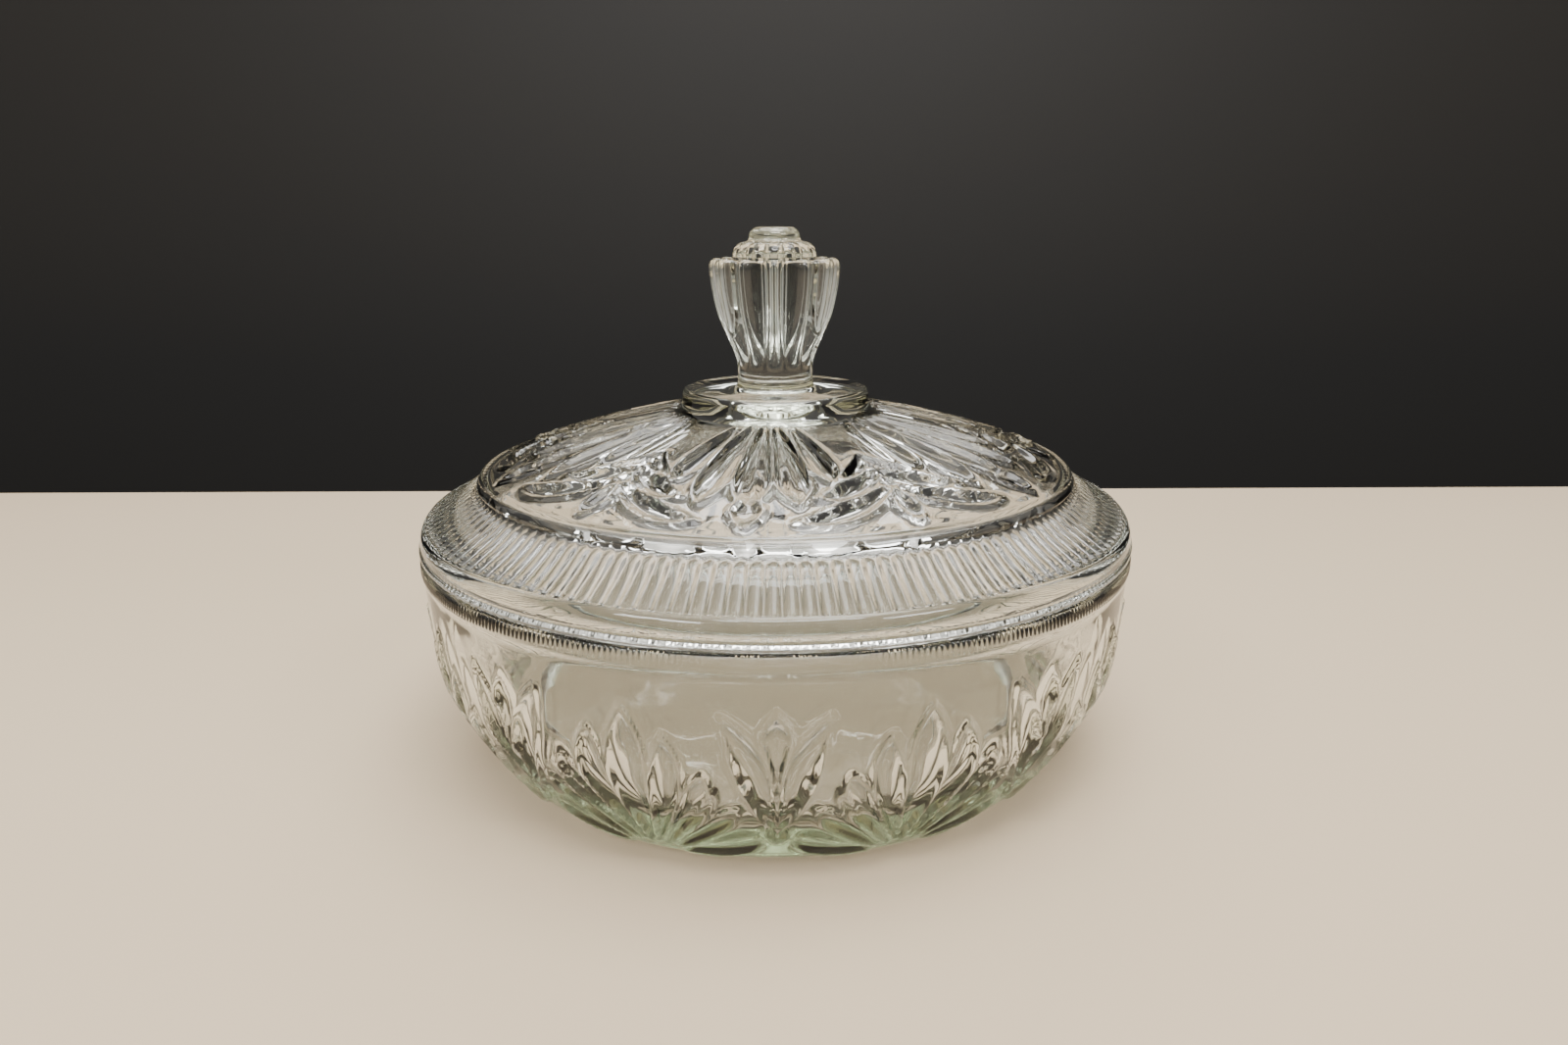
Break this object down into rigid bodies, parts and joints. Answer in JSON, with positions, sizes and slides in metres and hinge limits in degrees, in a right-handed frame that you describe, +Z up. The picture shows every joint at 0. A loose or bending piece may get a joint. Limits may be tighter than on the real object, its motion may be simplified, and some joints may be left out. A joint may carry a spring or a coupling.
{
  "type": "covered candy dish",
  "caption": "Round pressed-glass candy dish: a shallow thick-based bowl and a loose domed lid with a fluted knob that lifts straight off.",
  "frame": {"origin": "centre of the bowl's resting face, on the surface that the dish stands on", "axes": "+Z up along the dish's axis, towards the knob; +Y away from the front"},
  "size_m": [0.178, 0.178, 0.1297],
  "materials": {
    "bowl_glass": "fire-polished pressed soda glass, clear with a faint grey-green in its thick base",
    "lid_glass": "fire-polished pressed soda glass, clear with a faint grey-green in its rim"
  },
  "bodies": {
    "bowl": {"bowl": "bowl_glass"},
    "lid": {"lid": "lid_glass"}
  },
  "joints": [
    {"name": "lid_lift", "type": "slide", "parent": "bowl", "child": "lid", "axis": [0, 0, 1], "range_m": [0, 0.12]}
  ]
}
